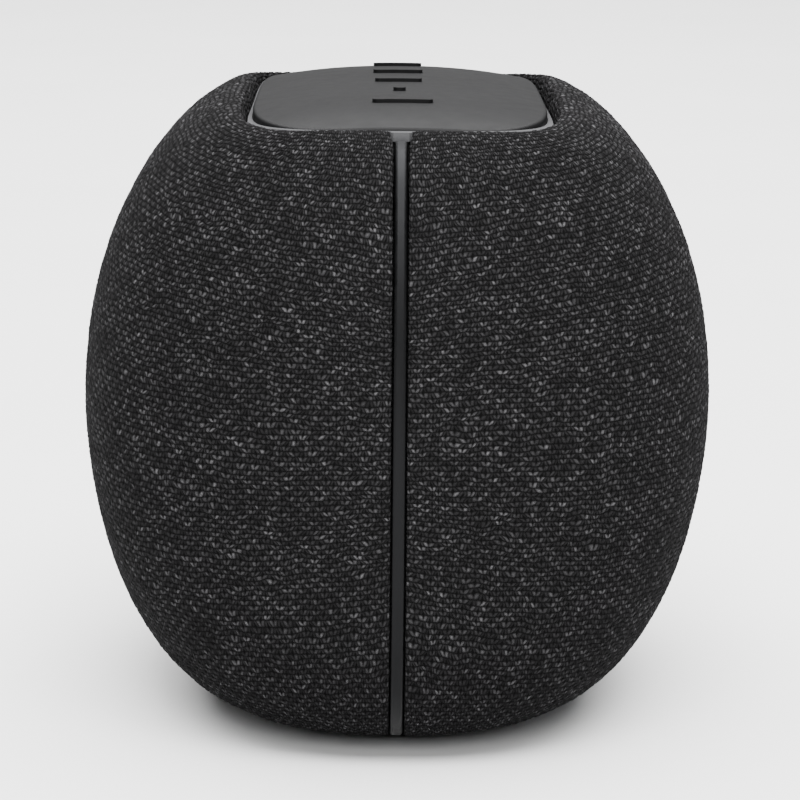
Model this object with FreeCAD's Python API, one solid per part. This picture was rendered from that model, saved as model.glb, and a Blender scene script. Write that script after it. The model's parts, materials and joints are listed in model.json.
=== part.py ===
import FreeCAD, Part
import math
import os

V = FreeCAD.Vector

# ---- driving dimensions, mm ----
FABRIC = 1.0
GRILLE_DEPTH = 1.35
GRILLE_WALL = 1.8
SLOT_HALF = 1.75
TAB_HALF = 2.35
STRIP_WIDTH = 2.7
STRIP_THICK = 3.4
PANEL_HALF_X = 29.9
PANEL_HALF_Y = 54.6
PANEL_POWER = 4.5
PANEL_TOP = 130.2
PANEL_SKIN = 1.6
PANEL_SEAT = 123.2
RING_HALF_X = 30.7
RING_HALF_Y = 56.0
RING_POWER = 6.0
KEY_PITCH = 18.5
KEY_DEPTH = 2.0
KEY_RAISED = 0.7
KEY_TRAVEL_GAP = 0.45
KEY_FIT = 0.12
FLANGE_TOP = 127.4
BOARD_TOP = 122.4
TUB_DEPTH = 4.4
TUB_WALL = 2.6
BAFFLE_X = 49.0
WOOFER_Y = -10.5
WOOFER_Z = 57.0
TWEETER_Y = 29.5
TWEETER_Z = 86.5
PASSIVE_Z = 62.0
PORT_Z = 25.0
PORT_Y = 59.4

# outline stations from the foot, up the outside, over the rim and down inside it:
# half width, half length, height at the sides, height at the ends, plan exponent
STATIONS = [
    (33.2, 49.0, 3.0, 3.0, 2.4),
    (40.0, 55.6, 5.3, 5.3, 2.4),
    (47.0, 61.6, 10.0, 10.0, 2.4),
    (53.6, 66.4, 18.2, 18.2, 2.45),
    (59.5, 70.0, 30.4, 30.4, 2.5),
    (63.7, 72.2, 46.0, 46.0, 2.5),
    (65.6, 73.0, 64.0, 64.0, 2.5),
    (64.3, 72.5, 82.0, 81.8, 2.55),
    (60.5, 70.9, 97.4, 96.8, 2.65),
    (54.7, 68.3, 110.2, 108.4, 2.85),
    (48.9, 65.6, 118.6, 115.9, 3.1),
    (43.3, 63.0, 124.2, 121.2, 3.5),
    (38.3, 60.7, 127.5, 124.5, 4.1),
    (34.9, 58.9, 129.0, 125.9, 4.8),
    (32.9, 57.6, 129.2, 126.2, 5.4),
    (31.7, 56.9, 128.2, 125.6, 6.2),
    (31.2, 56.6, 125.7, 123.8, 6.8),
    (31.1, 56.5, 121.6, 120.8, 6.8),
]
LAST = len(STATIONS) - 1


def smooth(values, u):
    i = min(int(u), len(values) - 2)
    t = u - i
    p1 = values[i]
    p2 = values[i + 1]
    p0 = values[i - 1] if i > 0 else 2 * p1 - p2
    p3 = values[i + 2] if i + 2 < len(values) else 2 * p2 - p1
    a = 2 * p1
    b = p2 - p0
    c = 2 * p0 - 5 * p1 + 4 * p2 - p3
    d = 3 * p1 - p0 - 3 * p2 + p3
    return 0.5 * (a + b * t + c * t * t + d * t * t * t)


COLUMNS = [[s[k] for s in STATIONS] for k in range(5)]


def outline(u, psi):
    ax, by, zx, zy, n = [smooth(col, u) for col in COLUMNS]
    c = math.cos(psi)
    s = math.sin(psi)
    k = (abs(c) ** n + abs(s) ** n) ** (-1.0 / n)
    x = ax * k * c
    y = by * k * s
    lift = (y / by) ** 2
    return V(x, y, zx + (zy - zx) * lift)


def inside(u, psi, depth):
    e = 0.02
    p = outline(u, psi)
    du = outline(min(u + e, LAST), psi) - outline(max(u - e, 0), psi)
    dv = outline(u, psi + e) - outline(u, psi - e)
    n = dv.cross(du)
    n.normalize()
    return p - n * depth


def slot_half(u):
    wide = min(max((u - 12.0) / 1.2, 0.0), 1.0)
    return SLOT_HALF + (TAB_HALF - SLOT_HALF) * wide


def half_face(u_list, depth, columns, half_gap):
    rows = []
    for u in u_list:
        ax = smooth(COLUMNS[0], u)
        edge = math.acos(half_gap(u) / ax)
        row = []
        for j in range(columns):
            psi = edge * (2.0 * j / (columns - 1) - 1.0)
            row.append(inside(u, psi, depth))
        rows.append(row)
    surface = Part.BSplineSurface()
    surface.interpolate(rows)
    return surface.toShape()


def boundary(face):
    """The four border edges, in the order first row, last row, first column, last column."""
    s = face.Surface
    u0, u1, v0, v1 = s.bounds()
    return [
        s.uIso(u0).toShape(v0, v1),
        s.uIso(u1).toShape(v0, v1),
        s.vIso(v0).toShape(u0, u1),
        s.vIso(v1).toShape(u0, u1),
    ]


def closed_solid(faces):
    shell = Part.Shell(faces) if len(faces) > 1 else faces[0]
    shell.sewShape()
    solid = Part.Solid(shell)
    if solid.Volume < 0:
        solid.reverse()
    return solid


def half_skin(u_list, depth, thick, columns, half_gap):
    outer = half_face(u_list, depth, columns, half_gap)
    inner = half_face(u_list, depth + thick, columns, half_gap)
    faces = [outer, inner]
    for a, b in zip(boundary(outer), boundary(inner)):
        faces.append(Part.makeRuledSurface(a, b))
    return closed_solid(faces)


def mirrored(shape):
    return shape.mirror(V(0, 0, 0), V(1, 0, 0))


def turned(shape):
    out = shape.copy()
    out.rotate(V(0, 0, 0), V(0, 0, 1), 180)
    return out


def super_wire(ax, by, n, z, points=32):
    pts = []
    for i in range(points):
        psi = 2 * math.pi * i / points
        c = math.cos(psi)
        s = math.sin(psi)
        k = (abs(c) ** n + abs(s) ** n) ** (-1.0 / n)
        pts.append(V(ax * k * c, by * k * s, z))
    curve = Part.BSplineCurve()
    curve.interpolate(Points=pts, PeriodicFlag=True)
    return Part.Wire(curve.toShape())


def super_loft(sections):
    wires = [super_wire(ax, by, n, z) for ax, by, n, z in sections]
    return Part.makeLoft(wires, True, False)


def super_prism(ax, by, n, z0, z1):
    return Part.Face(super_wire(ax, by, n, z0)).extrude(V(0, 0, z1 - z0))


def round_rect(hx, hy, r, z0, z1, x=0.0, y=0.0):
    a = r * math.sqrt(0.5)
    edges = []
    for sx, sy in ((1, -1), (1, 1), (-1, 1), (-1, -1)):
        cx = x + sx * (hx - r)
        cy = y + sy * (hy - r)
        ends = [V(cx + sx * r, cy, z0), V(cx, cy + sy * r, z0)]
        if sx * sy < 0:
            ends.reverse()
        mid = V(cx + sx * a, cy + sy * a, z0)
        edges.append((ends[0], mid, ends[1]))
    parts = []
    for i, (p, m, q) in enumerate(edges):
        parts.append(Part.Arc(p, m, q).toShape())
        nxt = edges[(i + 1) % 4][0]
        if (nxt - q).Length > 1e-6:
            parts.append(Part.makeLine(q, nxt))
    return Part.Face(Part.Wire(parts)).extrude(V(0, 0, z1 - z0))


def box(x0, x1, y0, y1, z0, z1):
    return Part.makeBox(x1 - x0, y1 - y0, z1 - z0, V(x0, y0, z0))


def cyl(r, p, d, h):
    return Part.makeCylinder(r, h, p, d)


def tube(r1, r0, p, d, h):
    return cyl(r1, p, d, h).cut(cyl(r0, p - d * 0.5, d, h + 1.0))


def fuse_all(shapes):
    out = shapes[0].multiFuse(shapes[1:]) if len(shapes) > 1 else shapes[0]
    return out.removeSplitter()


def revolve_x(profile, y, z):
    """Turns a closed list of (x, radius) points about the line along X through y, z."""
    pts = [V(px, y + pr, z) for px, pr in profile]
    face = Part.Face(Part.makePolygon(pts + [pts[0]]))
    return face.revolve(V(0, y, z), V(1, 0, 0), 360)


# ---- fabric sleeves and the grille shells under them ----
ALL_U = list(range(10)) + [9 + 0.5 * i for i in range(1, 7)]
ALL_U = ALL_U + [12 + 0.25 * i for i in range(1, 21)]
sleeve_right = half_skin(ALL_U, 0.0, FABRIC, 27, slot_half)
grille_u = [0.6, 1, 2, 3, 4, 5, 6, 7, 8, 9, 9.5, 10, 10.5, 11]
grille_right = half_skin(grille_u, GRILLE_DEPTH, GRILLE_WALL, 27, slot_half)
slots = []
for row in range(9):
    z = 22.0 + row * 10.4
    reach = 41.0 - 0.006 * (z - 62.0) ** 2
    count = 7
    for k in range(count):
        y = (k - (count - 1) / 2.0) * 2.0 * reach / count
        slots.append(box(20.0, 80.0, y - 4.4, y + 4.4, z - 1.9, z + 1.9))
grille_right = grille_right.cut(Part.makeCompound(slots))

port_cut = round_rect(11.2, 5.2, 5.1, 0.0, 40.0)
port_cut.rotate(V(0, 0, 0), V(1, 0, 0), -90)
port_cut.translate(V(0, 52.0, PORT_Z))
sleeve_right = sleeve_right.cut(port_cut)
grille_right = grille_right.cut(port_cut)

# ---- trim strips at the two ends ----


def strip(u_low, u_high):
    steps = 20
    us = [u_low + (u_high - u_low) * i / steps for i in range(steps + 1)]
    top = [inside(u, -math.pi / 2, 0.05) for u in us]
    low = [inside(u, -math.pi / 2, STRIP_THICK) for u in us]
    outer = Part.BSplineCurve()
    outer.interpolate([V(0, p.y, p.z) for p in top])
    inner = Part.BSplineCurve()
    inner.interpolate([V(0, p.y, p.z) for p in low])
    a = outer.toShape()
    b = inner.toShape()
    ends = [
        Part.makeLine(V(0, top[0].y, top[0].z), V(0, low[0].y, low[0].z)),
        Part.makeLine(V(0, top[-1].y, top[-1].z), V(0, low[-1].y, low[-1].z)),
    ]
    face = Part.Face(Part.Wire(Part.__sortEdges__([a, b] + ends)))
    face.translate(V(-STRIP_WIDTH / 2, 0, 0))
    solid = face.extrude(V(STRIP_WIDTH, 0, 0))
    size = max(e.Length for e in solid.Edges)
    longest = [e for e in solid.Edges if e.Length > 0.985 * size]
    foremost = min(e.CenterOfMass.y for e in longest)
    front = [e for e in longest if e.CenterOfMass.y <= foremost + 0.5]
    return solid.makeFillet(0.75, front)


strip_front = strip(0.55, 12.25)
strip_rear = turned(strip(4.45, 12.25))

# ---- control panel, trim ring ----


def dome(x, y, top):
    fall_y = 3.5 * (abs(y) / PANEL_HALF_Y) ** 6
    fall_x = 2.9 * (abs(x) / PANEL_HALF_X) ** 2.2
    return top - fall_y - fall_x


def dome_face(top):
    rows = []
    for i in range(13):
        x = -34.0 + 68.0 * i / 12
        lengths = [-58.0 + 116.0 * j / 18 for j in range(19)]
        rows.append([V(x, y, dome(x, y, top)) for y in lengths])
    surface = Part.BSplineSurface()
    surface.interpolate(rows)
    return surface.toShape()


def above(top):
    return dome_face(top).extrude(V(0, 0, 30))


def bar(x, y, hx, hy):
    """An upright bar with round ends."""
    return round_rect(hx, hy, 0.98 * min(hx, hy), 118.0, 134.0, x, y)


# raised marks from the near end to the far one: half width, centre
MARKS = {
    "long_bar": (6.0, 0.4),
    "dot": (1.25, -0.1),
    "bar": (4.9, -0.2),
    "notched_bar": (5.3, -0.2),
    "end_bar": (5.3, -0.2),
}


def mark(name, y, grow):
    half, x = MARKS[name]
    shape = bar(x, y, half + grow, 0.5 * KEY_DEPTH + grow)
    if name == "notched_bar":
        shape = shape.cut(cyl(0.8 - grow, V(x, y + 0.5 * KEY_DEPTH + 0.2, 110), V(0, 0, 1), 30))
    return shape


KEY_Y = {name: (i - 2) * KEY_PITCH + 0.6 for i, name in enumerate(MARKS)}


def panel_prism(inset, z0, z1):
    return super_prism(PANEL_HALF_X - inset, PANEL_HALF_Y - inset, PANEL_POWER, z0, z1)


panel = panel_prism(0.0, PANEL_SEAT, 133.0).cut(above(PANEL_TOP))
rim = []
for edge in panel.Edges:
    v = edge.valueAt(0.5 * (edge.FirstParameter + edge.LastParameter))
    if edge.Length > 40 and abs(v.z - dome(v.x, v.y, PANEL_TOP)) < 0.05:
        rim.append(edge)
panel = panel.makeFillet(0.7, rim)
panel = panel.cut(panel_prism(1.6, 122.0, 133.0).cut(above(PANEL_TOP - PANEL_SKIN)))
keys = {}
for name, y in KEY_Y.items():
    panel = panel.cut(mark(name, y, KEY_FIT))
    stamp = mark(name, y, 0.0).cut(above(PANEL_TOP + KEY_RAISED))
    stamp = stamp.cut(box(-20, 20, y - 20, y + 20, 110, FLANGE_TOP - 0.5))
    flange = round_rect(7.6, 3.4, 2.0, FLANGE_TOP - 1.0, FLANGE_TOP, 0.0, y)
    post_z = BOARD_TOP + 1.0 + KEY_TRAVEL_GAP
    post = cyl(1.7, V(0, y, post_z), V(0, 0, 1), FLANGE_TOP - 0.6 - post_z)
    keys[name] = fuse_all([flange, post, stamp])

ring_rows = []
for i in range(5):
    x = -36.0 + 72.0 * i / 4
    lengths = [-72.0 + 144.0 * j / 12 for j in range(13)]
    ring_rows.append([V(x, y, 125.2 + 1.1 * (y / 56.0) ** 2) for y in lengths])
ring_surface = Part.BSplineSurface()
ring_surface.interpolate(ring_rows)
ring_over = ring_surface.toShape().extrude(V(0, 0, 20))
ring = super_prism(RING_HALF_X, RING_HALF_Y, RING_POWER, 114.4, 130.0)
tab_pts = [V(-2.05, -55, 121), V(-2.05, -58.4, 121), V(-1.5, -59.0, 121)]
tab_pts = tab_pts + [V(-p.x, p.y, p.z) for p in tab_pts[::-1]]
tab = Part.Face(Part.makePolygon(tab_pts + [tab_pts[0]])).extrude(V(0, 0, 12))
tab = tab.cut(box(-3, 3, -70, -56.4, 118, 124.7))
ring = fuse_all([ring, tab, turned(tab)])
ring = ring.cut(panel_prism(-0.15, PANEL_SEAT - 0.1, 133)).cut(panel_prism(2.6, 113.0, 133)).cut(ring_over)
lugs = []
for sx in (-1, 1):
    for sy in (-1, 1):
        lug = box(-4.8, 4.8, -4.5, 4.5, 114.4, 117.0)
        lug.translate(V(sx * 23.6, sy * 40.0, 0))
        lugs.append(lug)
trim_ring = fuse_all([ring] + lugs)
for sx in (-1, 1):
    for sy in (-1, 1):
        trim_ring = trim_ring.cut(cyl(1.3, V(sx * 22.0, sy * 40.0, 110.0), V(0, 0, 1), 10))

# ---- key board ----
key_board = round_rect(19.0, 46.0, 4.0, BOARD_TOP - 1.6, BOARD_TOP)
switches = []
for y in KEY_Y.values():
    ball = Part.makeSphere(5.6, V(0, y, BOARD_TOP + 1.0 - 5.6))
    cap = ball.common(cyl(3.4, V(0, y, BOARD_TOP), V(0, 0, 1), 2.0))
    switches.append(cap)
posts = []
for sx in (-1, 1):
    for sy in (-1, 1):
        p = V(sx * 15.5, sy * 41.5, 0)
        posts.append(p)
        key_board = key_board.cut(cyl(1.3, p + V(0, 0, 110), V(0, 0, 1), 20))

# ---- sealed cabinet ----


def tub_section(depth, u):
    ax, by, zx, zy, n = [smooth(col, u) for col in COLUMNS]
    low = [smooth(col, max(u - 0.1, 0.0)) for col in COLUMNS]
    high = [smooth(col, u + 0.1) for col in COLUMNS]
    rise = high[2] - low[2]
    lean_x = math.hypot(1.0, (high[0] - low[0]) / rise)
    lean_y = math.hypot(1.0, (high[1] - low[1]) / rise)
    return (ax - depth * lean_x, by - depth * lean_y, n, zx)


tub_us = [2, 2.5, 3, 4, 5, 6, 7, 8, 8.5, 9]
outer = super_loft([tub_section(TUB_DEPTH, u) for u in tub_us])
inner = super_loft([tub_section(TUB_DEPTH + TUB_WALL, u) for u in tub_us])
floor_z = tub_section(TUB_DEPTH, 2)[3]
outer = outer.common(box(-BAFFLE_X, BAFFLE_X, -90, 90, 0, 200))
inner = inner.common(box(-BAFFLE_X + 4.0, BAFFLE_X - 4.0, -90, 90, floor_z + TUB_WALL + 0.6, 200))
tub_top = 107.0
tub = outer.cut(inner).cut(box(-90, 90, -90, 90, tub_top, 140))
tub = tub.cut(cyl(27.6, V(30, WOOFER_Y, WOOFER_Z), V(1, 0, 0), 40))
tub = tub.cut(cyl(11.2, V(30, TWEETER_Y, TWEETER_Z), V(1, 0, 0), 40))
tub = tub.cut(cyl(31.0, V(-70, 0, PASSIVE_Z), V(1, 0, 0), 40))
port_hole = box(-8.6, 8.6, 52, 90, PORT_Z - 3.4, PORT_Z + 3.4)
tub = tub.cut(port_hole)


def ring_points(count, r, start=0.0):
    for i in range(count):
        t = math.radians(start) + 2 * math.pi * i / count
        yield r * math.cos(t), r * math.sin(t)


def screw(p, d, head_r, head_h, r, length):
    """A pan-head screw: head base at p, shank going against d."""
    head = cyl(head_r, p, d, head_h)
    edge = [e for e in head.Edges if (e.CenterOfMass - (p + d * head_h)).Length < 1e-4]
    head = head.makeFillet(head_h * 0.45, edge)
    shank = cyl(r, p - d * length, d, length)
    body = head.fuse(shank)
    drive = Part.makeBox(0.7, head_r * 1.2, head_h, V(-0.35, -head_r * 0.6, 0))
    other = drive.copy()
    other.rotate(V(0, 0, 0), V(0, 0, 1), 90)
    cross = drive.fuse(other)
    place = FreeCAD.Placement(p + d * head_h * 0.5, FreeCAD.Rotation(V(0, 0, 1), d))
    cross.Placement = place.multiply(cross.Placement)
    return body.cut(cross)


X = V(1, 0, 0)
Z = V(0, 0, 1)
driver_screws = []
for y, z in ring_points(4, 30.4, 45):
    p = V(BAFFLE_X + 2.2, WOOFER_Y + y, WOOFER_Z + z)
    tub = tub.cut(cyl(0.95, p - X * 6.4, X, 10))
    driver_screws.append(screw(p, X, 2.3, 1.5, 0.9, 5.6))
for y, z in ring_points(3, 13.2, 90):
    p = V(BAFFLE_X + 1.8, TWEETER_Y + y, TWEETER_Z + z)
    tub = tub.cut(cyl(0.95, p - X * 6.0, X, 10))
    driver_screws.append(screw(p, X, 1.8, 1.3, 0.9, 5.0))
for y, z in ring_points(6, 34.4, 0):
    p = V(-BAFFLE_X - 2.2, y, PASSIVE_Z + z)
    tub = tub.cut(cyl(0.95, p + X * 6.4, -X, 10))
    driver_screws.append(screw(p, -X, 2.3, 1.5, 0.9, 5.6))

lid_out = tub_section(TUB_DEPTH, 9)
lid = super_prism(lid_out[0] - 1.5, lid_out[1] - 1.5, 2.85, tub_top + 0.8, tub_top + 3.6)
lid = lid.common(box(-BAFFLE_X + 0.8, BAFFLE_X - 0.8, -90, 90, 0, 200))
gasket = super_prism(lid_out[0] - 0.6, lid_out[1] - 0.6, 2.85, tub_top, tub_top + 0.8)
gasket = gasket.common(box(-BAFFLE_X + 0.6, BAFFLE_X - 0.6, -90, 90, 90, 130))
gasket_void = super_prism(lid_out[0] - 2.6, lid_out[1] - 2.6, 2.85, tub_top - 1, tub_top + 2)
gasket = gasket.cut(gasket_void.common(box(-BAFFLE_X + 3.0, BAFFLE_X - 3.0, -90, 90, 90, 130)))
lid_screws = []
bosses = []
for sx in (-1, 1):
    for y in (-43.0, 0.0, 43.0):
        x = sx * (42.0 if y == 0 else 38.0)
        p = V(x, y, tub_top + 3.6)
        boss = cyl(3.4, V(x, y, tub_top - 12), Z, 12)
        bosses.append(boss)
        lid = lid.cut(cyl(1.6, V(x, y, 100), Z, 20))
        lid_screws.append(screw(p, Z, 2.6, 1.6, 1.15, 9.0))
tub = fuse_all([tub] + bosses)
for b in bosses:
    c = b.CenterOfMass
    tub = tub.cut(cyl(1.2, V(c.x, c.y, tub_top - 10), Z, 20))

# panel supports between the lid and the ring, key board stands
towers = []
tower_screws = []
for sx in (-1, 1):
    for sy in (-1, 1):
        foot_z = tub_top + 3.6
        x = sx * 22.0
        y = sy * 40.0
        t = tube(3.0, 0.9, V(x, y, foot_z), Z, 114.4 - foot_z)
        towers.append(t)
        tower_screws.append(screw(V(x, y, 117.0), Z, 2.2, 1.4, 0.85, 5.4))
for p in posts:
    foot_z = tub_top + 3.6
    towers.append(tube(2.2, 0.9, p + V(0, 0, foot_z), Z, BOARD_TOP - 1.6 - foot_z))
    tower_screws.append(screw(p + V(0, 0, BOARD_TOP), Z, 2.0, 1.0, 0.85, 5.0))
lid = fuse_all([lid] + towers)
for sx in (-1, 1):
    for sy in (-1, 1):
        lid = lid.cut(cyl(0.9, V(sx * 22.0, sy * 40.0, tub_top + 1.6), Z, 20))
for p in posts:
    lid = lid.cut(cyl(0.9, p + V(0, 0, tub_top + 1.6), Z, 20))

# ---- woofer ----
x0 = BAFFLE_X
basket = revolve_x([
    (x0, 33.2), (x0 + 2.2, 33.2), (x0 + 2.2, 28.4), (x0 + 0.9, 28.4), (x0 + 0.9, 27.2),
    (x0 - 1.2, 27.2), (x0 - 15.0, 17.6), (x0 - 15.0, 12.4), (x0 - 16.4, 12.4),
    (x0 - 16.4, 18.6), (x0 - 1.2, 27.4), (x0, 27.4),
], WOOFER_Y, WOOFER_Z)
windows = []
for i in range(6):
    w = box(x0 - 12.6, x0 - 3.6, -4.6, 4.6, 12.0, 40.0)
    w.rotate(V(0, 0, 0), X, 60.0 * i)
    w.translate(V(0, WOOFER_Y, WOOFER_Z))
    windows.append(w)
basket = basket.cut(Part.makeCompound(windows))
for y, z in ring_points(4, 30.4, 45):
    basket = basket.cut(cyl(1.15, V(40, WOOFER_Y + y, WOOFER_Z + z), X, 20))
magnet = revolve_x([
    (x0 - 16.4, 19.0), (x0 - 16.4, 9.2), (x0 - 19.0, 9.2), (x0 - 19.0, 10.6), (x0 - 27.0, 10.6),
    (x0 - 27.0, 0.0), (x0 - 30.6, 0.0), (x0 - 30.6, 19.0), (x0 - 28.0, 19.0), (x0 - 28.0, 20.6),
    (x0 - 19.0, 20.6), (x0 - 19.0, 19.0),
], WOOFER_Y, WOOFER_Z)
pole = cyl(7.4, V(x0 - 27.2, WOOFER_Y, WOOFER_Z), X, 10.8)
magnet = fuse_all([magnet, pole])
cone = revolve_x([
    (x0 - 1.0, 22.6), (x0 - 0.3, 22.6), (x0 - 8.4, 9.0), (x0 - 6.4, 6.0), (x0 - 5.2, 3.0), (x0 - 4.8, 0.0),
    (x0 - 5.4, 0.0), (x0 - 5.8, 3.0), (x0 - 7.0, 6.0), (x0 - 8.6, 7.9), (x0 - 21.0, 7.9),
    (x0 - 21.0, 8.7), (x0 - 9.4, 8.7),
], WOOFER_Y, WOOFER_Z)


def half_roll(x, r0, r1, side, wall, y, z):
    """A half-roll surround between radii r0 and r1, bulging towards side, with two flat lips."""
    rm = 0.5 * (r0 + r1)
    a = 0.5 * (r1 - r0)
    outer = []
    inner = []
    for i in range(13):
        t = math.pi * i / 12
        outer.append((x + side * (wall + (a - 0.3) * math.sin(t)), rm - (a - 0.3) * math.cos(t)))
        inner.append((x + side * (a - 0.3 - wall) * math.sin(t), rm - (a - 0.3 - wall) * math.cos(t)))
    lip0 = [(x, r0 - 1.2), (x + side * wall, r0 - 1.2)]
    lip1 = [(x + side * wall, r1 + 0.5), (x, r1 + 0.5)]
    return revolve_x(lip0 + outer + lip1 + inner[::-1], y, z)


woofer_surround = half_roll(x0 + 0.9, 23.0, 27.6, 1.0, 0.5, WOOFER_Y, WOOFER_Z)
cone_rim = revolve_x([
    (x0 - 1.0, 22.55), (x0 - 1.0, 20.9), (x0 + 0.85, 20.9), (x0 + 0.85, 22.55),
], WOOFER_Y, WOOFER_Z)
cone = fuse_all([cone, cone_rim])

# ---- tweeter ----
tweeter_body = revolve_x([
    (x0, 15.6), (x0 + 1.8, 15.6), (x0 + 1.8, 10.4), (x0 + 0.6, 8.2), (x0 - 2.0, 8.2),
    (x0 - 2.0, 0.0), (x0 - 12.0, 0.0), (x0 - 12.0, 10.8), (x0, 10.8),
], TWEETER_Y, TWEETER_Z)
for y, z in ring_points(3, 13.2, 90):
    tweeter_body = tweeter_body.cut(cyl(1.15, V(40, TWEETER_Y + y, TWEETER_Z + z), X, 20))
dome_out = []
dome_in = []
for i in range(9):
    t = 0.5 * math.pi * i / 8
    dome_out.append((x0 - 0.9 + 3.4 * math.cos(t), 6.6 * math.sin(t)))
    dome_in.append((x0 - 1.2 + 3.1 * math.cos(t), 6.2 * math.sin(t)))
dome_out = dome_out + [(x0 - 0.9, 7.8), (x0 - 1.2, 7.8)]
tweeter_dome = revolve_x(dome_out + dome_in[::-1], TWEETER_Y, TWEETER_Z)

# ---- passive radiator on the other face ----
xp = -BAFFLE_X
passive_frame = revolve_x([
    (xp, 37.4), (xp - 2.2, 37.4), (xp - 2.2, 32.4), (xp - 0.9, 32.4), (xp - 0.9, 30.6),
    (xp + 3.0, 30.6), (xp + 3.0, 30.8), (xp, 30.8),
], 0.0, PASSIVE_Z)
for y, z in ring_points(6, 34.4, 0):
    passive_frame = passive_frame.cut(cyl(1.15, V(-60, y, PASSIVE_Z + z), X, 20))
passive_plate = revolve_x([
    (xp + 1.6, 0.0), (xp + 1.6, 18.0), (xp - 0.4, 23.6), (xp - 0.85, 25.9), (xp - 2.0, 25.9),
    (xp - 1.8, 21.0), (xp + 0.2, 16.0), (xp + 0.2, 0.0),
], 0.0, PASSIVE_Z)
passive_weight = cyl(11.0, V(xp + 1.6, 0, PASSIVE_Z), X, 2.4)
passive_surround = half_roll(xp - 2.2, 24.7, 31.4, -1.0, 0.6, 0.0, PASSIVE_Z)

# ---- battery, boards and wiring ----
cells = []
for i in (-1, 1):
    cell = cyl(9.1, V(i * 10.0, -32.5, 24.2), V(0, 1, 0), 65.0)
    cells.append(cell)
holder = round_rect(21.0, 36.0, 3.0, floor_z + TUB_WALL + 0.6, 24.0)
for i in (-1, 1):
    holder = holder.cut(cyl(9.3, V(i * 10.0, -33.0, 24.2), V(0, 1, 0), 66.0))
strap = box(-20.6, 20.6, -4.0, 4.0, 24.0, 34.4)
for i in (-1, 1):
    strap = strap.cut(cyl(9.3, V(i * 10.0, -33.0, 24.2), V(0, 1, 0), 66.0))
strap = strap.cut(box(-30, 30, -5, 5, 34.2, 40)).cut(box(-3.0, 3.0, -5, 5, 20, 32))

main_board = round_rect(17.0, 34.0, 2.0, 113.2, 114.8)
stands = []
board_screws = []
for sx in (-1, 1):
    for sy in (-1, 1):
        p = V(sx * 14.0, sy * 31.0, 0)
        main_board = main_board.cut(cyl(1.15, p + V(0, 0, 110), Z, 10))
        stands.append(tube(2.2, 0.9, p + V(0, 0, tub_top + 3.6), Z, 113.2 - tub_top - 3.6))
        board_screws.append(screw(p + V(0, 0, 114.8), Z, 2.0, 1.2, 0.85, 3.8))
lid = fuse_all([lid] + stands)
for sx in (-1, 1):
    for sy in (-1, 1):
        lid = lid.cut(cyl(0.9, V(sx * 14.0, sy * 31.0, tub_top + 1.6), Z, 20))
chips = [
    box(-6, 6, -8, 4, 114.8, 116.2),
    box(-13, -7, -18, -11, 114.8, 116.0),
    box(7, 12, -4, 1, 114.8, 115.8),
    box(7, 13, -17, -9, 114.8, 116.6),
]
radio_can = round_rect(6.5, 8.0, 0.6, 114.8, 116.8, 0.0, 17.0)
coils = [cyl(2.6, V(-11.0, y, 114.8), Z, 2.8) for y in (-5.0, 2.0, 9.0)]
sockets = [box(-13.5, -8.5, 20.0, 26.0, 114.8, 117.2), box(8.0, 13.5, 16.0, 26.0, 114.8, 117.2)]
antenna = box(-10, 10, 48.6, 49.4, tub_top + 3.6, 119.0)

port_shell = round_rect(4.5, 1.65, 1.6, 0.0, 8.4)
port_shell = port_shell.cut(round_rect(4.15, 1.3, 1.25, 1.4, 12.0))
tongue = box(-3.4, 3.4, -0.35, 0.35, 1.0, 7.6)
port_shell = fuse_all([port_shell, tongue])
port_shell.rotate(V(0, 0, 0), V(1, 0, 0), -90)
port_shell.translate(V(0, PORT_Y, PORT_Z))
plate = round_rect(10.8, 4.8, 4.7, 0.0, 30.0)
plate.rotate(V(0, 0, 0), V(1, 0, 0), -90)
plate.translate(V(0, 52.0, PORT_Z))
plate_out = super_loft([tub_section(0.35, u) for u in (1.5, 2, 2.5, 3, 3.5, 4, 4.5, 5)])
plate_in = super_loft([tub_section(TUB_DEPTH - 0.15, u) for u in (1.5, 2, 2.5, 3, 3.5, 4, 4.5, 5)])
port_plate = plate.common(plate_out).cut(plate_in)
mouth = round_rect(4.6, 1.75, 1.7, 0.0, 40.0)
mouth.rotate(V(0, 0, 0), V(1, 0, 0), -90)
mouth.translate(V(0, 52.0, PORT_Z))
port_plate = port_plate.cut(mouth)
port_board = box(-8.0, 8.0, PORT_Y - 8.6, PORT_Y - 0.2, PORT_Z - 2.6, PORT_Z - 1.75)


def wire(points, r):
    path = Part.BSplineCurve()
    path.interpolate([V(*p) for p in points])
    edge = path.toShape()
    start = path.value(path.FirstParameter)
    t = path.tangent(path.FirstParameter)[0]
    circle = Part.Wire(Part.makeCircle(r, start, t))
    return Part.Wire(edge).makePipeShell([circle], True, True)


harness = [
    wire([(x0 - 17.0, WOOFER_Y + 21.6, 70), (24, 12, 80), (14, 14, 92), (12, 16, tub_top - 0.5)], 0.7),
    wire([(x0 - 17.0, WOOFER_Y + 21.6, 67), (22, 14, 78), (11, 17, 91), (9, 18, tub_top - 0.5)], 0.7),
    wire([(x0 - 12.6, TWEETER_Y + 4, TWEETER_Z + 2), (26, 29, 93), (18, 23, 99), (15, 20, tub_top - 0.5)], 0.6),
    wire([(0, 35.0, 31.0), (0, 42, 50), (4, 34, 80), (5, 24, tub_top - 0.5)], 0.9),
]

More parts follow.
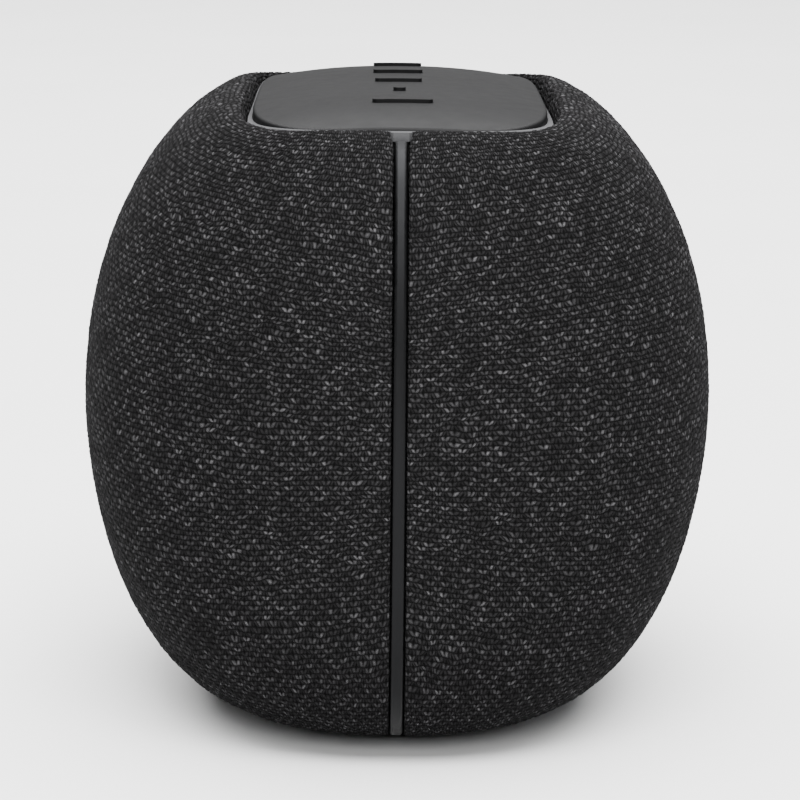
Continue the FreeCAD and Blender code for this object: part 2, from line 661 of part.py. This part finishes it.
# ---- base ----
foot_pan = super_loft([
    (24.6, 40.4, 2.3, 0.6), (28.4, 44.2, 2.35, 1.3), (31.0, 46.8, 2.4, 2.4), (31.9, 47.8, 2.4, 3.6),
    (31.9, 47.8, 2.4, 6.4),
])
foot_pan = foot_pan.cut(super_prism(21.6, 37.4, 2.3, -1, 1.4))
foot_pan = foot_pan.cut(super_prism(28.6, 44.6, 2.4, 3.4, 5.0))
foot_pad = super_prism(21.4, 37.2, 2.3, 0.0, 1.4)
foot_pad = foot_pad.cut(super_prism(15.4, 31.2, 2.3, -1, 0.8))
base_screws = []
for sx in (-1, 1):
    for sy in (-1, 1):
        p = V(sx * 17.0, sy * 29.0, 2.0)
        foot_pan = foot_pan.cut(cyl(1.7, p + V(0, 0, -1), Z, 8)).cut(cyl(2.9, p + V(0, 0, -0.6), Z, 2.2))
        base_screws.append(screw(V(p.x, p.y, 3.4), -Z, 2.6, 1.4, 1.15, 6.4))
        foot_pan = foot_pan.cut(cyl(2.9, V(p.x, p.y, 1.4), Z, 2.1))
for s in base_screws:
    c = s.BoundBox.Center
    tub = tub.cut(cyl(1.2, V(c.x, c.y, floor_z - 1), Z, 20))
    holder = holder.cut(cyl(1.6, V(c.x, c.y, floor_z - 1), Z, 8))

NODES = {
    "sleeve_right": sleeve_right,
    "sleeve_left": mirrored(sleeve_right),
    "grille_right": grille_right,
    "grille_left": mirrored(grille_right),
    "trim_strip_front": strip_front,
    "trim_strip_rear": strip_rear,
    "trim_ring": trim_ring,
    "control_panel": panel,
    "key_board": key_board,
    "dome_switches": Part.makeCompound(switches),
    "cabinet_tub": tub,
    "cabinet_lid": lid,
    "cabinet_gasket": gasket,
    "driver_screws": Part.makeCompound(driver_screws),
    "lid_screws": Part.makeCompound(lid_screws),
    "tower_screws": Part.makeCompound(tower_screws),
    "board_screws": Part.makeCompound(board_screws),
    "base_screws": Part.makeCompound(base_screws),
    "woofer_basket": basket,
    "woofer_magnet": magnet,
    "woofer_cone": cone,
    "woofer_surround": woofer_surround,
    "tweeter_body": tweeter_body,
    "tweeter_dome": tweeter_dome,
    "passive_frame": passive_frame,
    "passive_plate": passive_plate,
    "passive_weight": passive_weight,
    "passive_surround": passive_surround,
    "battery_cells": Part.makeCompound(cells),
    "battery_holder": holder,
    "battery_strap": strap,
    "main_board": main_board,
    "board_chips": Part.makeCompound(chips),
    "radio_can": radio_can,
    "power_coils": Part.makeCompound(coils),
    "board_sockets": Part.makeCompound(sockets),
    "antenna": antenna,
    "port_socket": port_shell,
    "port_plate": port_plate,
    "port_board": port_board,
    "harness": Part.makeCompound(harness),
    "foot_pan": foot_pan,
    "foot_pad": foot_pad,
}
for name in MARKS:
    NODES["key_" + name] = keys[name]

os.makedirs("parts", exist_ok=True)
for name, shape in NODES.items():
    shape.exportStep("parts/%s.step" % name)
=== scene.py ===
import json
import math

import bpy
import numpy as np
from mathutils import Matrix, Vector


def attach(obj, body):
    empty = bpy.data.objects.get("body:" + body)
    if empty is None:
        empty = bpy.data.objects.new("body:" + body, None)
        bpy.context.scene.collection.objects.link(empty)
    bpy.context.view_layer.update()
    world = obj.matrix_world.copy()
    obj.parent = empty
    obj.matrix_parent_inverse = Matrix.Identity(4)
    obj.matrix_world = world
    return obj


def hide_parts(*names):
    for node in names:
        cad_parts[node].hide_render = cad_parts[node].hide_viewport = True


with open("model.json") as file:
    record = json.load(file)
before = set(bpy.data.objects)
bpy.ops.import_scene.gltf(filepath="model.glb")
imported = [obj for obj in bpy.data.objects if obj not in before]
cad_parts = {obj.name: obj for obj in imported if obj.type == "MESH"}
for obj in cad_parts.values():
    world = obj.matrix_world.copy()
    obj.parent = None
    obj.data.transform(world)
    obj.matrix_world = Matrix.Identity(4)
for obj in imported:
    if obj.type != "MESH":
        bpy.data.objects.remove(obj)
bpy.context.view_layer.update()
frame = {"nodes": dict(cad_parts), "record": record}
MM = 0.001

# ---- knit fabric: the same outline stations as the shell it is stretched over, in mm ----
# half width, half length, height at the sides, height at the ends, plan exponent
STATIONS = np.array([
    (33.2, 49.0, 3.0, 3.0, 2.4),
    (40.0, 55.6, 5.3, 5.3, 2.4),
    (47.0, 61.6, 10.0, 10.0, 2.4),
    (53.6, 66.4, 18.2, 18.2, 2.45),
    (59.5, 70.0, 30.4, 30.4, 2.5),
    (63.7, 72.2, 46.0, 46.0, 2.5),
    (65.6, 73.0, 64.0, 64.0, 2.5),
    (64.3, 72.5, 82.0, 81.8, 2.55),
    (60.5, 70.9, 97.4, 96.8, 2.65),
    (54.7, 68.3, 110.2, 108.4, 2.85),
    (48.9, 65.6, 118.6, 115.9, 3.1),
    (43.3, 63.0, 124.2, 121.2, 3.5),
    (38.3, 60.7, 127.5, 124.5, 4.1),
    (34.9, 58.9, 129.0, 125.9, 4.8),
    (32.9, 57.6, 129.2, 126.2, 5.4),
    (31.7, 56.9, 128.2, 125.6, 6.2),
    (31.2, 56.6, 125.7, 123.8, 6.8),
    (31.1, 56.5, 121.6, 120.8, 6.8),
])
LAST = len(STATIONS) - 1
SLOT_HALF = 1.72      # half gap between the two halves of the knit, at the strips
TAB_HALF = 2.32       # the same at the tabs on top
TAB_FROM = 12.0       # station where the gap starts to widen, and over how many stations
TAB_OVER = 1.2
SEAM_HALF = 0.2       # half gap where the two halves meet below the rear strip
SEAM_TOP = 36.8       # height of the rear strip's lower end
INLET_HALF = 11.2     # half width, half height and middle of the power inlet's opening
INLET_TALL = 5.2
INLET_Z = 25.0
LIP = 1.0             # width of knit that is turned in around the opening
LIP_SLOPE = 2.0       # how steeply it turns in
RIM_ROLL = 0.45       # how much higher the knit rolls over the rim at the middle of both ends
RIM_REACH = 23.0      # half width of that part of the rim
RIM_STATION = 14.2    # station of the rim's crest, and the spread of the roll in stations
RIM_SPREAD = 1.4

PROFILE_STEPS = 800   # steps in the run along the outline
ROW_PITCH = 1.16      # height of one knitted row at the sides
CELLS = 68            # raised stitches in one row, from strip to strip
PER_CELL = 6          # mesh columns in one stitch
PER_ROW = 3           # mesh rows in one knitted row
ROW_BEND = 0.04       # how far the rows are pulled out of level towards the strips
RELIEF = 0.24         # how far a raised stitch stands out
UNDER = 0.12          # how far the base of the knit lies inside the outline
EDGE_SINK = np.array([0.0, 0.25, 0.8, 1.7, 2.8])    # depth of the columns tucked in at an edge
EDGE_CURL = 0.10      # how far each of the first two of them goes on towards the strip
EDGE_ROUND = 0.22     # how much the knit sinks before it is tucked in, and over how many columns
EDGE_SOFT = 2.5

# legs of a stitch: distance from its middle at the foot, lean towards the top, half width
RAISED_LEG = (0.07, 0.15, 0.16)
LOW_LEG = (0.05, 0.12, 0.11)
LOW_LEG_COLOUR = (0.05, 0.12, 0.10)
LOW_HEIGHT = 0.4      # height of a low leg against a raised one


def smooth(u):
    """Catmull-Rom through the stations, for an array of places u along them."""
    u = np.asarray(u, float)
    i = np.clip(u.astype(int), 0, LAST - 1)
    t = (u - i)[..., None]
    p1 = STATIONS[i]
    p2 = STATIONS[i + 1]
    p0 = np.where((i > 0)[..., None], STATIONS[np.maximum(i - 1, 0)], 2 * p1 - p2)
    p3 = np.where((i + 2 <= LAST)[..., None], STATIONS[np.minimum(i + 2, LAST)], 2 * p2 - p1)
    b = p2 - p0
    c = 2 * p0 - 5 * p1 + 4 * p2 - p3
    d = 3 * p1 - p0 - 3 * p2 + p3
    return 0.5 * (2 * p1 + b * t + c * t ** 2 + d * t ** 3)


def outline(u, psi):
    """Points of the body's outline at station u and angle psi around it."""
    ax, by, zx, zy, n = np.moveaxis(smooth(u), -1, 0)
    c = np.cos(psi)
    s = np.sin(psi)
    k = (np.abs(c) ** n + np.abs(s) ** n) ** (-1.0 / n)
    x = ax * k * c
    y = by * k * s
    return np.stack([x, y, zx + (zy - zx) * (y / by) ** 2], -1)


def outward(u, psi):
    """Unit normals of the outline."""
    step = 0.03
    du = outline(np.minimum(u + step, LAST), psi) - outline(np.maximum(u - step, 0), psi)
    dv = outline(u, psi + step) - outline(u, psi - step)
    n = np.cross(dv, du)
    return n / np.linalg.norm(n, axis=-1, keepdims=True)


def drift(cu, cv, seed, step_u, step_v):
    """Smooth random values from -1 to 1 over the stitch grid, one knot every step_u by step_v stitches."""
    gu = (cu + 4) / step_u
    gv = (cv + 4) / step_v
    knots = np.random.default_rng(seed).uniform(-1, 1, (int(gv.max()) + 3, int(gu.max()) + 3))
    iu = np.floor(gu).astype(int)
    iv = np.floor(gv).astype(int)
    fu = gu - iu
    fv = gv - iv
    fu = fu * fu * (3 - 2 * fu)
    fv = fv * fv * (3 - 2 * fv)
    low = knots[iv, iu] * (1 - fu) + knots[iv, iu + 1] * fu
    high = knots[iv + 1, iu] * (1 - fu) + knots[iv + 1, iu + 1] * fu
    return low * (1 - fv) + high * fv


def stitch_height(cu, cv):
    """Relief of the knit, from 0 to 1: V-shaped stitches in brick order with flatter ones between them."""
    row = np.floor(cv)
    fu = cu + 0.5 * np.mod(row, 2)
    fu = np.abs(fu - np.floor(fu) - 0.5)
    fv = cv - row
    swell = 1 - (2 * fv - 1) ** 4

    def leg(across, lean, near, slope, half):
        return np.clip(1 - ((across - near - slope * lean) / half) ** 2, 0, 1)

    raised = leg(fu, fv, *RAISED_LEG)
    low = leg(0.5 - fu, 1 - fv, *LOW_LEG)
    return swell * np.maximum(raised, LOW_HEIGHT * low)


def inlet_edge(pos):
    """Distance from the edge of the power inlet's opening, negative inside it, and the way out of it."""
    across = np.maximum(np.abs(pos[..., 0]) - (INLET_HALF - INLET_TALL), 0)
    up = pos[..., 2] - INLET_Z
    reach = np.maximum(np.hypot(across, up), 1e-6)
    away = np.stack([across * np.sign(pos[..., 0]) / reach, np.zeros_like(up), up / reach], -1)
    return np.where(pos[..., 1] > 0, reach - INLET_TALL, 99.0), away


def knit_half(side):
    """One stretched half of the knit, as a fine mesh whose rows and columns follow the stitches."""
    grid_u = np.linspace(0, LAST, PROFILE_STEPS)
    line = outline(grid_u, np.zeros_like(grid_u))
    run = np.concatenate([[0], np.cumsum(np.linalg.norm(np.diff(line, axis=0), axis=1))])
    rows = int(round(run[-1] / ROW_PITCH)) * PER_ROW
    cols = CELLS * PER_CELL
    tuck = len(EDGE_SINK) - 1
    j = np.arange(-tuck, cols + tuck + 1)
    inside_j = np.clip(j, 0, cols) / cols
    r = np.arange(rows + 1) / rows
    rr, jj = np.meshgrid(r, inside_j, indexing="ij")
    turn = np.abs(2 * jj - 1) ** 2
    wave = np.sin(2 * math.pi * rr) - 0.12 * np.sin(6 * math.pi * rr)
    s = rr + ROW_BEND * wave * turn
    u = np.interp(s * run[-1], run, grid_u)
    ax = smooth(u)[..., 0]
    wide = np.clip((u - TAB_FROM) / TAB_OVER, 0, 1)
    gap = SLOT_HALF + (TAB_HALF - SLOT_HALF) * wide
    low_part = np.clip(SEAM_TOP - smooth(u)[..., 2], 0, 1) * (jj > 0.5)
    gap = gap + (SEAM_HALF - gap) * low_part
    psi = np.arccos(gap / ax) * (2 * jj - 1)
    cu = np.broadcast_to(j / PER_CELL, rr.shape)
    cv = np.broadcast_to((np.arange(rows + 1) / PER_ROW)[:, None], rr.shape)
    over = np.maximum(np.maximum(-j, j - cols), 0)
    roll = np.exp(-np.minimum(np.abs(j), np.abs(j - cols)) / EDGE_SOFT) * EDGE_ROUND
    # the grid of stitches is warped, so that no two of them are alike
    seed = 3 if side > 0 else 30
    loose = cu + 0.20 * drift(cu, cv, seed, 1.3, 2.0)
    cv = cv + 0.42 * drift(cu, cv, seed + 1, 1.1, 2.6)
    cu = loose
    pull = 1 + 0.35 * drift(cu, cv, seed + 2, 0.9, 1.3)
    pos = outline(u, psi)
    edge, away = inlet_edge(pos)
    lip = np.clip(-edge, 0, LIP)
    height = RELIEF * pull * stitch_height(cu, cv) - UNDER - EDGE_SINK[over] - roll - LIP_SLOPE * lip
    middle = np.clip(1 - (pos[..., 0] / RIM_REACH) ** 4, 0, 1)
    pos = pos + outward(u, psi) * height[..., None] + away * lip[..., None]
    pos[..., 2] += RIM_ROLL * middle * np.exp(-((u - RIM_STATION) / RIM_SPREAD) ** 2)
    pos[..., 0] -= EDGE_CURL * np.minimum(over, 2)
    pos[..., 0] *= side
    nr, nc = rr.shape
    index = np.arange(nr * nc).reshape(nr, nc)
    quad = [index[:-1, :-1], index[:-1, 1:], index[1:, 1:], index[1:, :-1]]
    if side < 0:
        quad = quad[::-1]
    faces = np.stack([q.ravel() for q in quad], -1)
    faces = faces[(edge.ravel()[faces] >= -LIP).all(axis=1)]
    # the other half starts further along the stitch grid, so its flecks differ
    first = 0 if side > 0 else 2 * CELLS
    coords = np.stack([cu.ravel() + first, cv.ravel()], -1)[faces.ravel()]
    used, faces = np.unique(faces, return_inverse=True)
    faces = faces.reshape(-1, 4)
    mesh = bpy.data.meshes.new("knit")
    mesh.vertices.add(len(used))
    mesh.vertices.foreach_set("co", (pos.reshape(-1, 3)[used] * MM).reshape(-1))
    mesh.loops.add(faces.size)
    mesh.loops.foreach_set("vertex_index", faces.ravel().astype(np.int32))
    mesh.polygons.add(len(faces))
    mesh.polygons.foreach_set("loop_start", np.arange(0, faces.size, 4, dtype=np.int32))
    mesh.update(calc_edges=True)
    uv = mesh.uv_layers.new(name="stitches")
    uv.data.foreach_set("uv", coords.ravel().astype(np.float32))
    mesh.validate()
    mesh.shade_smooth()
    name = "knit_sleeve_right" if side > 0 else "knit_sleeve_left"
    piece = bpy.data.objects.new(name, mesh)
    bpy.context.collection.objects.link(piece)
    return piece


# ---- materials ----


class Tree:
    """Short calls for building one node material."""

    def __init__(self, name):
        self.mat = bpy.data.materials.new(name)
        self.mat.use_nodes = True
        self.nodes = self.mat.node_tree.nodes
        self.links = self.mat.node_tree.links
        self.bsdf = self.nodes["Principled BSDF"]
        self.coord = None

    def link(self, value, socket):
        if isinstance(value, (int, float)):
            socket.default_value = value
        else:
            self.links.new(value, socket)

    def new(self, kind, **settings):
        node = self.nodes.new(kind)
        for key, value in settings.items():
            setattr(node, key, value)
        return node

    def math(self, op, a, b=None, c=None, clamp=False):
        """One Math node on sockets or numbers."""
        node = self.new("ShaderNodeMath", operation=op, use_clamp=clamp)
        for value, socket in zip((a, b, c), node.inputs):
            if value is not None:
                self.link(value, socket)
        return node.outputs[0]

    def place(self, scale=(1.0, 1.0, 1.0)):
        if self.coord is None:
            self.coord = self.new("ShaderNodeTexCoord").outputs["Object"]
        node = self.new("ShaderNodeMapping")
        self.link(self.coord, node.inputs["Vector"])
        node.inputs["Scale"].default_value = scale
        return node.outputs[0]

    def noise(self, scale, detail=3.0, rough=0.55, stretch=(1.0, 1.0, 1.0)):
        node = self.new("ShaderNodeTexNoise")
        self.link(self.place(stretch), node.inputs["Vector"])
        node.inputs["Scale"].default_value = scale
        node.inputs["Detail"].default_value = detail
        node.inputs["Roughness"].default_value = rough
        return node.outputs[0]

    def ramp(self, value, stops):
        node = self.new("ShaderNodeValToRGB")
        self.link(value, node.inputs[0])
        band = node.color_ramp
        while len(band.elements) < len(stops):
            band.elements.new(0.5)
        for element, (at, colour) in zip(band.elements, stops):
            element.position = at
            element.color = colour + (1.0,)
        return node.outputs[0]

    def span(self, value, low, high, to_low, to_high):
        node = self.new("ShaderNodeMapRange")
        self.link(value, node.inputs["Value"])
        for key, number in (("From Min", low), ("From Max", high), ("To Min", to_low), ("To Max", to_high)):
            node.inputs[key].default_value = number
        return node.outputs[0]

    def bump(self, height, distance, strength=1.0, after=None):
        node = self.new("ShaderNodeBump")
        self.link(height, node.inputs["Height"])
        node.inputs["Distance"].default_value = distance
        node.inputs["Strength"].default_value = strength
        if after is not None:
            self.link(after, node.inputs["Normal"])
        return node.outputs[0]

    def finish(self, **sockets):
        for key, value in sockets.items():
            self.link(value, self.bsdf.inputs[key.replace("_", " ")])
        return self.mat


def knit_material():
    """Melange yarn: every leg of every stitch of the mesh has its own shade of grey."""
    t = Tree("melange_knit")
    uv = t.new("ShaderNodeUVMap", uv_map="stitches").outputs[0]
    split = t.new("ShaderNodeSeparateXYZ")
    t.link(uv, split.inputs[0])
    v = split.outputs[1]
    row = t.math("FLOOR", v)
    shifted = t.math("MULTIPLY_ADD", t.math("FLOORED_MODULO", row, 2.0), 0.5, split.outputs[0])
    cell = t.math("FLOOR", shifted)
    fu = t.math("ABSOLUTE", t.math("SUBTRACT", t.math("SUBTRACT", shifted, cell), 0.5))
    fv = t.math("SUBTRACT", v, row)
    from_middle = t.math("ABSOLUTE", t.math("MULTIPLY_ADD", fv, 2.0, -1.0))
    swell = t.math("SUBTRACT", 1.0, t.math("POWER", from_middle, 3.0))

    def leg(across, lean, near, slope, half):
        off = t.math("DIVIDE", t.math("SUBTRACT", across, t.math("MULTIPLY_ADD", lean, slope, near)), half)
        return t.math("MULTIPLY", t.math("SUBTRACT", 1.0, t.math("MULTIPLY", off, off), clamp=True), swell)

    raised = leg(fu, fv, *RAISED_LEG)
    low = leg(t.math("SUBTRACT", 0.5, fu), t.math("SUBTRACT", 1.0, fv), *LOW_LEG_COLOUR)

    def chance(side):
        ident = t.new("ShaderNodeCombineXYZ")
        t.link(cell, ident.inputs[0])
        t.link(row, ident.inputs[1])
        t.link(side, ident.inputs[2])
        dice = t.new("ShaderNodeTexWhiteNoise", noise_dimensions="3D")
        t.link(ident.outputs[0], dice.inputs["Vector"])
        return dice.outputs["Value"]

    whole = chance(0.0)
    single = chance(t.math("ADD", t.math("GREATER_THAN", t.math("SUBTRACT", shifted, cell), 0.5), 1.0))
    luck = t.math("POWER", t.math("MULTIPLY_ADD", whole, 0.4, t.math("MULTIPLY", single, 0.6)), 1.8)
    fibre = t.noise(2600.0, 3.0, 0.7)
    relief = t.math("MAXIMUM", raised, t.math("MULTIPLY", low, LOW_HEIGHT))
    tone = t.math("MULTIPLY", raised, t.math("MULTIPLY_ADD", luck, 0.65, 0.23))
    tone = t.math("MULTIPLY_ADD", low, t.math("MULTIPLY_ADD", single, 0.2, 0.13), tone)
    tone = t.math("MULTIPLY", tone, t.span(fibre, 0.3, 0.7, 0.7, 1.25))
    colour = t.ramp(tone, [
        (0.0, (0.0015, 0.00147, 0.0015)),
        (0.25, (0.0078, 0.0076, 0.0079)),
        (0.55, (0.0225, 0.0221, 0.0229)),
        (1.0, (0.064, 0.063, 0.0652)),
    ])
    wave = t.bump(relief, 0.00022, 0.9)
    hair = t.bump(fibre, 0.00006, 0.8, after=wave)
    rough = t.span(fibre, 0.0, 1.0, 0.78, 0.98)
    return t.finish(Base_Color=colour, Roughness=rough, Normal=hair, Specular_IOR_Level=0.02)


def moulded(name, dark, light, rough, grain, depth, spec=0.5):
    """Moulded plastic or rubber: fine grain, slow colour drift and cloudy gloss."""
    t = Tree(name)
    slow = t.noise(38.0, 4.0, 0.6)
    fine = t.noise(grain, 3.0, 0.6)
    cloud = t.noise(190.0, 4.0, 0.65)
    mixed = t.math("MULTIPLY_ADD", fine, 0.35, t.math("MULTIPLY", slow, 0.65))
    colour = t.ramp(mixed, [(0.32, dark), (0.68, light)])
    gloss = t.span(cloud, 0.3, 0.7, rough - 0.05, rough + 0.05)
    return t.finish(
        Base_Color=colour, Roughness=gloss, Normal=t.bump(fine, depth, 0.8), Specular_IOR_Level=spec
    )


def metal(name, dark, light, rough, stretch, depth=0.00002):
    """Satin or brushed metal, with streaks along one direction."""
    t = Tree(name)
    streak = t.noise(900.0, 4.0, 0.7, stretch)
    slow = t.noise(25.0, 3.0, 0.5)
    mixed = t.math("MULTIPLY_ADD", streak, 0.5, t.math("MULTIPLY", slow, 0.5))
    colour = t.ramp(mixed, [(0.3, dark), (0.7, light)])
    level = t.span(streak, 0.25, 0.75, rough - 0.07, rough + 0.07)
    return t.finish(Base_Color=colour, Roughness=level, Metallic=1.0, Normal=t.bump(streak, depth, 0.5))


def board_material():
    """Solder-masked circuit board with copper tracks and pads under the mask."""
    t = Tree("solder_mask")
    brick = t.new("ShaderNodeTexBrick")
    t.link(t.place(), brick.inputs["Vector"])
    brick.inputs["Scale"].default_value = 420.0
    brick.inputs["Mortar Size"].default_value = 0.035
    brick.inputs["Color1"].default_value = (0.006, 0.045, 0.022, 1)
    brick.inputs["Color2"].default_value = (0.008, 0.055, 0.028, 1)
    brick.inputs["Mortar"].default_value = (0.03, 0.12, 0.05, 1)
    weave = t.noise(1500.0, 2.0, 0.5)
    return t.finish(
        Base_Color=brick.outputs["Color"], Roughness=t.span(weave, 0.2, 0.8, 0.28, 0.42),
        Normal=t.bump(brick.outputs["Fac"], 0.00004, 0.6), Coat_Weight=0.35,
    )


knit = knit_material()
soft_touch = moulded(
    "soft_touch_skin", (0.0040, 0.0040, 0.0042), (0.0054, 0.0054, 0.0057), 0.50, 4200.0, 0.000012, 0.06
)
key_rubber = moulded(
    "key_rubber", (0.0012, 0.0012, 0.0013), (0.0024, 0.0024, 0.0026), 0.5, 5200.0, 0.00001, 0.08
)
ring_plastic = moulded(
    "ring_plastic", (0.035, 0.035, 0.0365), (0.044, 0.044, 0.0458), 0.45, 3600.0, 0.000012, 0.06
)
foot_plastic = moulded(
    "foot_plastic", (0.0012, 0.0012, 0.0013), (0.0022, 0.0022, 0.0023), 0.6, 3000.0, 0.00003, 0.03
)
black_plastic = moulded(
    "black_plastic", (0.003, 0.003, 0.0032), (0.006, 0.006, 0.0063), 0.65, 2600.0, 0.00003, 0.15
)
seal_rubber = moulded(
    "seal_rubber", (0.010, 0.010, 0.010), (0.018, 0.018, 0.018), 0.72, 2200.0, 0.00004, 0.3
)
cone_pulp = moulded("cone_pulp", (0.016, 0.016, 0.017), (0.035, 0.035, 0.036), 0.85, 1500.0, 0.00008, 0.3)
cell_wrap = moulded("cell_wrap", (0.02, 0.10, 0.30), (0.03, 0.13, 0.36), 0.25, 900.0, 0.00001, 0.5)
nylon = moulded("socket_nylon", (0.62, 0.59, 0.50), (0.70, 0.67, 0.58), 0.4, 2000.0, 0.00002, 0.5)
wire_skin = moulded("wire_sleeve", (0.22, 0.012, 0.012), (0.30, 0.02, 0.018), 0.38, 2600.0, 0.00002, 0.5)
chip_black = moulded(
    "chip_plastic", (0.010, 0.010, 0.011), (0.018, 0.018, 0.019), 0.5, 2800.0, 0.00002, 0.4
)
strip_metal = metal(
    "dark_anodised", (0.0074, 0.0075, 0.0078), (0.0096, 0.0097, 0.0101), 0.42, (1.0, 1.0, 0.05)
)
steel = metal("plated_steel", (0.42, 0.42, 0.43), (0.58, 0.58, 0.59), 0.3, (1.0, 0.1, 1.0))
screw_steel = metal("screw_steel", (0.10, 0.10, 0.105), (0.18, 0.18, 0.185), 0.38, (1.0, 1.0, 1.0))
magnet_grey = metal(
    "magnet_grey", (0.07, 0.07, 0.075), (0.12, 0.12, 0.125), 0.55, (1.0, 1.0, 1.0), 0.00004
)
film = metal("dome_film", (0.45, 0.45, 0.47), (0.6, 0.6, 0.62), 0.28, (0.3, 1.0, 1.0))
mask = board_material()

LOOKS = {
    "knit_fabric": knit,
    "grille_plastic": black_plastic,
    "anodised_trim": strip_metal,
    "ring_plastic": ring_plastic,
    "soft_touch_skin": soft_touch,
    "key_rubber": key_rubber,
    "circuit_board": mask,
    "switch_steel": steel,
    "screw_steel": screw_steel,
    "seal_rubber": seal_rubber,
    "basket_steel": magnet_grey,
    "magnet_ceramic": magnet_grey,
    "cone_paper": cone_pulp,
    "dome_film": film,
    "cell_wrap": cell_wrap,
    "holder_plastic": foot_plastic,
    "chip_plastic": chip_black,
    "socket_nylon": nylon,
    "wire_sleeve": wire_skin,
}
slot_of = {entry["node"]: entry["material_slot"] for entry in frame["record"]["subparts"]}
for node, piece in frame["nodes"].items():
    for holder in piece.material_slots:
        holder.material = LOOKS[slot_of[node]]

for side, node in ((1, "sleeve_right"), (-1, "sleeve_left")):
    cloth = knit_half(side)
    cloth.data.materials.append(knit)
    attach(cloth, "hub_body")
    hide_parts(node)

# ---- stage, light and camera ----
floor_mesh = bpy.data.meshes.new("floor")
reach = 6.0
floor_mesh.from_pydata(
    [(-reach, -reach, 0), (reach, -reach, 0), (reach, reach, 0), (-reach, reach, 0)], [], [(0, 1, 2, 3)],
)
floor = bpy.data.objects.new("floor", floor_mesh)
bpy.context.collection.objects.link(floor)
matt = Tree("pale_floor")
pale = matt.ramp(matt.noise(6.0, 2.0), [(0.3, (0.58, 0.58, 0.58)), (0.7, (0.60, 0.60, 0.60))])
floor_mesh.materials.append(matt.finish(Base_Color=pale, Roughness=0.9, Specular_IOR_Level=0.1))

world = bpy.data.worlds.new("studio")
world.use_nodes = True
sky = world.node_tree.nodes["Background"]
sky.inputs["Color"].default_value = (1.0, 1.0, 1.0, 1.0)
sky.inputs["Strength"].default_value = 0.4
bpy.context.scene.world = world


def softbox(name, place, target, width, height, power):
    lamp = bpy.data.lights.new(name, "AREA")
    lamp.shape = "RECTANGLE"
    lamp.size = width
    lamp.size_y = height
    lamp.energy = power
    box = bpy.data.objects.new(name, lamp)
    box.location = place
    box.rotation_euler = (Vector(target) - Vector(place)).to_track_quat("-Z", "Y").to_euler()
    bpy.context.collection.objects.link(box)


softbox("top_softbox", (0.0, 0.6, 2.4), (0.0, 0.6, 0.0), 4.4, 4.4, 560.0)
softbox("front_softbox", (0.1, -1.1, 1.9), (0, 0, 0.09), 1.4, 0.9, 125.0)
softbox("low_softbox", (0.05, -1.6, 0.9), (0, 0, 0.09), 0.9, 0.7, 32.0)

CAMERA_RANGE = 0.651
CAMERA_RISE = math.radians(11.8)
CAMERA_TURN = math.radians(0.5)
CAMERA_ROLL = math.radians(0.5)
LOOK_AT = Vector((0.0007, 0.0, 0.062))
camera_data = bpy.data.cameras.new("camera")
camera_data.lens = 136.8
camera_data.sensor_width = 36.0
camera = bpy.data.objects.new("camera", camera_data)
level = math.cos(CAMERA_RISE)
away = Vector((-level * math.sin(CAMERA_TURN), -level * math.cos(CAMERA_TURN), math.sin(CAMERA_RISE)))
look = (-away).to_track_quat("-Z", "Y").to_matrix().to_4x4()
camera.matrix_world = (
    Matrix.Translation(LOOK_AT + away * CAMERA_RANGE) @ look @ Matrix.Rotation(CAMERA_ROLL, 4, "Z")
)
bpy.context.collection.objects.link(camera)
bpy.context.scene.camera = camera
